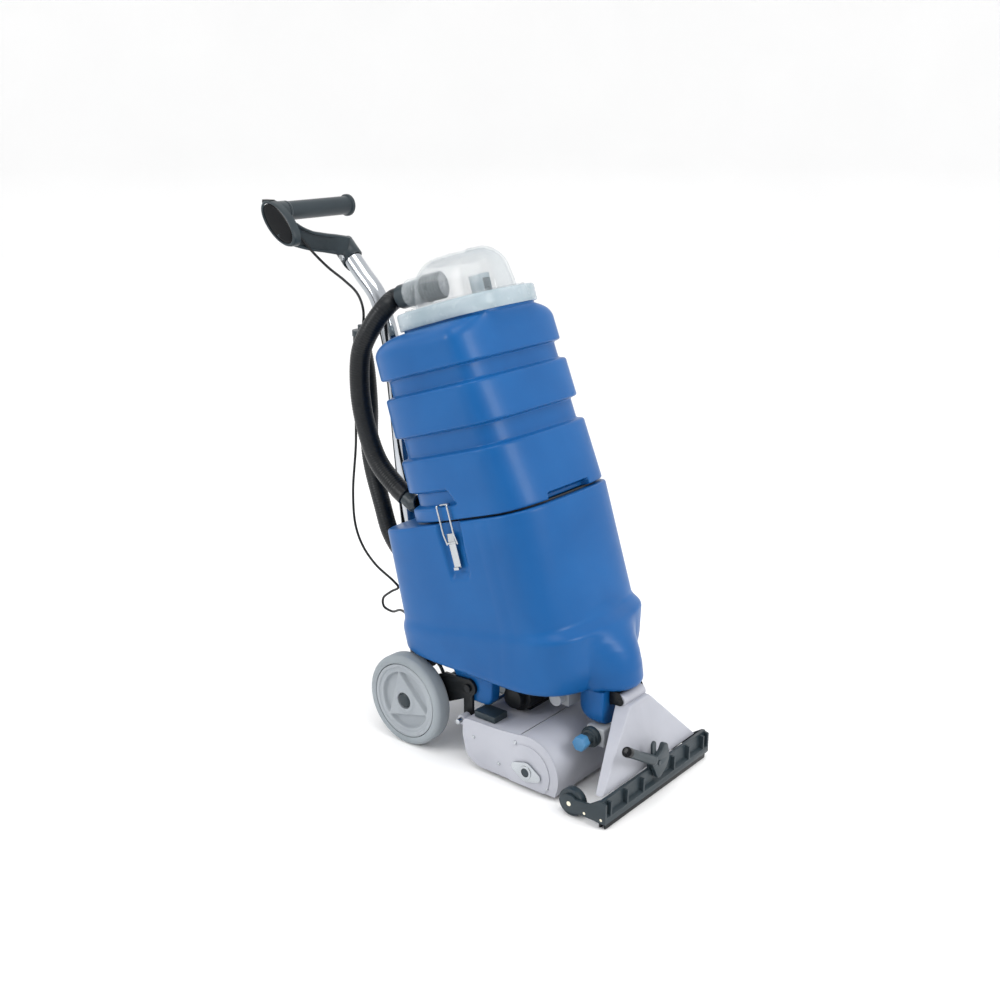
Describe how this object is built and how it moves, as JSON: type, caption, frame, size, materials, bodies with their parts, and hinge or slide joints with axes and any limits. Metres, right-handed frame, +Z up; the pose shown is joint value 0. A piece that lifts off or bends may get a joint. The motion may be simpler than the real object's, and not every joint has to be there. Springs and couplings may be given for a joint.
{
  "type": "carpet extractor",
  "caption": "Walk-behind carpet extractor with stacked blue tanks, clear lid, brush deck, squeegee vacuum shoe and a cranked handle.",
  "frame": {"origin": "centre of the whole machine's footprint box at floor level", "axes": "+X towards the vacuum shoe at the front, +Y to the machine's left, +Z up"},
  "size_m": [0.8788, 0.336, 1],
  "materials": {
    "tank_blue": "blown polyethylene, satin",
    "clear_cover": "clear moulded plastic",
    "milky_collar": "translucent plastic",
    "black_rubber": "satin",
    "tyre_grey": "grey rubber",
    "dark_plastic": "fine textured",
    "black_steel": "satin black",
    "grey_housing": "light grey paint",
    "wheel_grey": "moulded",
    "grey_plastic": "moulded",
    "chrome_tube": "polished",
    "plain_steel": "zinc plated",
    "cream_plastic": "moulded",
    "cap_blue": "moulded",
    "gasket_rubber": "soft"
  },
  "bodies": {
    "frame": {"lower_tank": "tank_blue", "upper_tank": "tank_blue", "tank_gasket": "gasket_rubber", "standpipe": "milky_collar", "vacuum_motor": "black_steel", "recovery_port": "dark_plastic", "recovery_hose": "black_rubber", "drain_port": "dark_plastic", "drain_hose": "black_rubber", "handle_tube": "chrome_tube", "handle_arm": "dark_plastic", "grip": "dark_plastic", "handle_bolt": "plain_steel", "switch_cable": "black_rubber", "cable_gland": "dark_plastic", "chassis": "black_steel", "axle": "dark_plastic", "solution_pump": "grey_plastic", "valve_block": "grey_plastic", "spray_bar": "black_steel", "valve_barrel": "dark_plastic", "shoe_bracket": "black_steel"},
    "wheel_right": {"tyre_right": "tyre_grey", "hub_right": "wheel_grey"},
    "wheel_left": {"tyre_left": "tyre_grey", "hub_left": "wheel_grey"},
    "deck": {"deck_housing": "grey_housing", "deck_end_plate_right": "grey_housing", "deck_end_plate_left": "grey_housing", "flange_bearing_right": "plain_steel", "flange_bearing_left": "plain_steel", "brush_motor": "black_steel", "terminal_box": "dark_plastic", "deck_pivot_rod": "plain_steel", "drive_belt": "black_rubber"},
    "brush": {"brush_roller": "dark_plastic", "brush_pulley": "dark_plastic"},
    "motor_rotor": {"motor_pulley": "plain_steel"},
    "shoe": {"vac_shoe": "grey_housing", "squeegee_frame": "dark_plastic", "blade_front": "black_rubber", "blade_rear": "black_rubber"},
    "roller_right": {"end_roller_right": "dark_plastic"},
    "roller_left": {"end_roller_left": "dark_plastic"},
    "clamp": {"clamp_lever": "dark_plastic"},
    "latch_right": {"latch_lever_right": "plain_steel"},
    "latch_left": {"latch_lever_left": "plain_steel"},
    "bail_right": {"latch_bail_right": "plain_steel"},
    "bail_left": {"latch_bail_left": "plain_steel"},
    "lid": {"lid_dome": "clear_cover", "lid_collar": "milky_collar", "inlet_elbow": "dark_plastic"},
    "float": {"float_ball": "cream_plastic"},
    "rocker": {"switch_rocker": "black_rubber"},
    "valve_knob": {"valve_cap": "cap_blue"},
    "plug": {"drain_plug": "dark_plastic"}
  },
  "joints": [
    {"name": "wheel_right_spin", "type": "hinge", "parent": "frame", "child": "wheel_right", "pos_m": [-0.0464, -0.1395, 0.09], "axis": [0, 1, 0], "continuous": true},
    {"name": "wheel_left_spin", "type": "hinge", "parent": "frame", "child": "wheel_left", "pos_m": [-0.0464, 0.1395, 0.09], "axis": [0, 1, 0], "continuous": true},
    {"name": "deck_float", "type": "hinge", "parent": "frame", "child": "deck", "pos_m": [0.0836, 0, 0.086], "axis": [0, -1, 0], "range_deg": [0, 3.5]},
    {"name": "brush_spin", "type": "hinge", "parent": "deck", "child": "brush", "pos_m": [0.2456, 0, 0.04], "axis": [0, 1, 0], "continuous": true},
    {"name": "motor_spin", "type": "hinge", "parent": "deck", "child": "motor_rotor", "pos_m": [0.1616, 0, 0.134], "axis": [0, 1, 0], "continuous": true},
    {"name": "shoe_flip", "type": "hinge", "parent": "frame", "child": "shoe", "pos_m": [0.3626, 0, 0.171], "axis": [0, -1, 0], "range_deg": [0, 35]},
    {"name": "roller_right_spin", "type": "hinge", "parent": "shoe", "child": "roller_right", "pos_m": [0.3536, -0.155, 0.0255], "axis": [0, 1, 0], "continuous": true},
    {"name": "roller_left_spin", "type": "hinge", "parent": "shoe", "child": "roller_left", "pos_m": [0.3536, 0.155, 0.0255], "axis": [0, 1, 0], "continuous": true},
    {"name": "clamp_turn", "type": "hinge", "parent": "shoe", "child": "clamp", "pos_m": [0.4274, -0.007, 0.064], "axis": [-1, 0, 0], "range_deg": [0, 60]},
    {"name": "latch_right_open", "type": "hinge", "parent": "frame", "child": "latch_right", "pos_m": [0.06864, -0.1455, 0.44485], "axis": [-0.9519, 0, -0.3064], "range_deg": [0, 150]},
    {"name": "latch_left_open", "type": "hinge", "parent": "frame", "child": "latch_left", "pos_m": [0.06864, 0.1455, 0.44485], "axis": [0.9519, 0, 0.3064], "range_deg": [0, 150]},
    {"name": "bail_right_swing", "type": "hinge", "parent": "latch_right", "child": "bail_right", "pos_m": [0.07232, -0.146, 0.43343], "axis": [-0.9519, 0, -0.3064], "range_deg": [-150, 0]},
    {"name": "bail_left_swing", "type": "hinge", "parent": "latch_left", "child": "bail_left", "pos_m": [0.07232, 0.146, 0.43343], "axis": [0.9519, 0, 0.3064], "range_deg": [-150, 0]},
    {"name": "lid_lift", "type": "slide", "parent": "frame", "child": "lid", "axis": [-0.3064, 0, 0.9519], "range_m": [0, 0.05], "deforming": ["recovery_hose"]},
    {"name": "float_rise", "type": "slide", "parent": "frame", "child": "float", "axis": [-0.3064, 0, 0.9519], "range_m": [0, 0.02]},
    {"name": "switch_tilt", "type": "hinge", "parent": "frame", "child": "rocker", "pos_m": [-0.4144, -0.1095, 0.997], "axis": [0, 1, 0], "range_deg": [-10, 10]},
    {"name": "valve_turn", "type": "hinge", "parent": "frame", "child": "valve_knob", "pos_m": [0.3256, -0.095, 0.103], "axis": [0, -1, 0], "range_deg": [0, 90]},
    {"name": "plug_pull", "type": "slide", "parent": "frame", "child": "plug", "axis": [0, 0, 1], "range_m": [0, 0.03]}
  ],
  "couplings": [
    {"joint": "motor_spin", "follows": "brush_spin", "ratio": 2},
    {"joint": "bail_right_swing", "follows": "latch_right_open", "ratio": -1},
    {"joint": "bail_left_swing", "follows": "latch_left_open", "ratio": -1}
  ]
}
